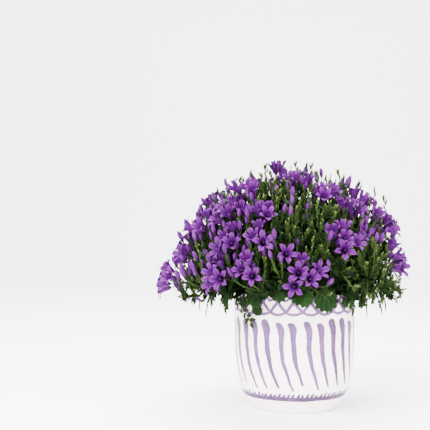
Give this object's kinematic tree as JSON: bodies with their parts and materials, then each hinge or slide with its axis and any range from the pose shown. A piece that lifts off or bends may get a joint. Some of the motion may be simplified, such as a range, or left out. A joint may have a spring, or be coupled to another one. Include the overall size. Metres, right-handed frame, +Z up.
{
  "type": "potted bellflower",
  "caption": "Round cushion of purple bellflowers on leafy stems, rooted in soil in a plain plastic pot that stands in a white glazed pot with lavender brush strokes.",
  "frame": {"origin": "centre of the glazed pot's flat foot, on the surface that it stands on", "axes": "+Z up along the pot's axis; the front of the plant faces -Y and +X is to its right"},
  "size_m": [0.29, 0.2678, 0.2863],
  "materials": {
    "glaze": "gloss",
    "grower_plastic": "satin",
    "soil": "matte",
    "petals": "satin",
    "stems": "satin",
    "basal_leaves": "satin"
  },
  "bodies": {
    "root": {"blooms_01_a": "petals", "blooms_01_b": "petals", "blooms_02_a": "petals", "blooms_02_b": "petals", "blooms_03_a": "petals", "blooms_03_b": "petals", "blooms_04_a": "petals", "blooms_04_b": "petals", "blooms_05_a": "petals", "blooms_05_b": "petals", "blooms_06_a": "petals", "blooms_06_b": "petals", "blooms_07_a": "petals", "blooms_09_a": "petals", "blooms_09_b": "petals", "blooms_10_a": "petals", "blooms_11_a": "petals", "blooms_11_b": "petals", "blooms_12_a": "petals", "blooms_12_b": "petals", "blooms_14_a": "petals", "blooms_14_b": "petals", "blooms_15_a": "petals", "blooms_15_b": "petals", "blooms_16_a": "petals", "blooms_16_b": "petals", "blooms_17_a": "petals", "blooms_17_b": "petals", "blooms_18_a": "petals", "blooms_18_b": "petals", "blooms_19_a": "petals", "blooms_19_b": "petals", "glazed_pot": "glaze", "grower_pot": "grower_plastic", "leaf_fan_1": "basal_leaves", "leaf_fan_2": "basal_leaves", "leaf_fan_3": "basal_leaves", "leaf_fan_4": "basal_leaves", "leaf_fan_5": "basal_leaves", "leaf_fan_6": "basal_leaves", "soil": "soil", "stem_01": "stems", "stem_02": "stems", "stem_03": "stems", "stem_04": "stems", "stem_05": "stems", "stem_06": "stems", "stem_07": "stems", "stem_08": "stems", "stem_09": "stems", "stem_10": "stems", "stem_11": "stems", "stem_12": "stems", "stem_13": "stems", "stem_14": "stems", "stem_15": "stems", "stem_16": "stems", "stem_17": "stems", "stem_18": "stems", "stem_19": "stems"}
  },
  "joints": []
}
